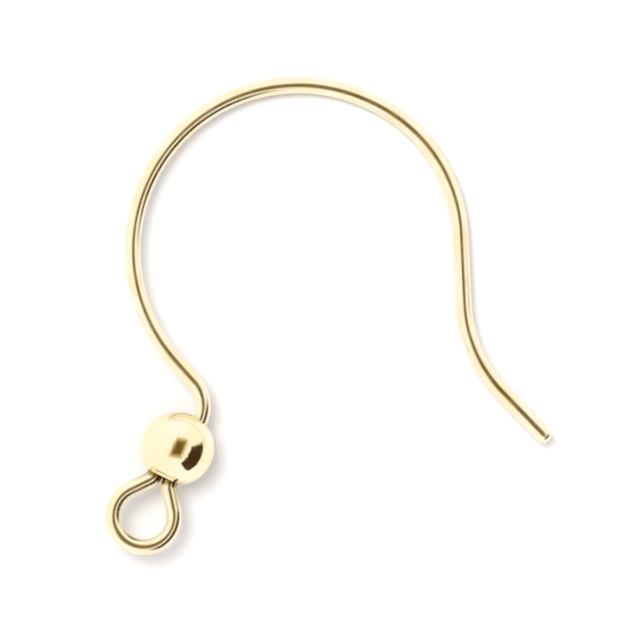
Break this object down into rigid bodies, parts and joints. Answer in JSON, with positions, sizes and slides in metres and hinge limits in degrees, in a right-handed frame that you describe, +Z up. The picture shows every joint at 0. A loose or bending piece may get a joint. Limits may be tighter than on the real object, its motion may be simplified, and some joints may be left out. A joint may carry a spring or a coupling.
{
  "type": "ear wire",
  "caption": "Open fish-hook ear wire: one round gold wire with a flared tail, a teardrop loop and a hollow ball bead over its join.",
  "frame": {"origin": "on the table, under the middle of the lying ear wire", "axes": "+Z up from the table it lies on, +Y towards the top of the hook, +X towards the tail"},
  "size_m": [0.0181, 0.0194, 0.003],
  "materials": {
    "gold_wire": "polished, gold plated, faint drawing lines along the wire",
    "gold_bead": "polished, gold plated, fine handling marks"
  },
  "bodies": {
    "root": {"ear_hook": "gold_wire", "ball_bead": "gold_bead"}
  },
  "joints": []
}
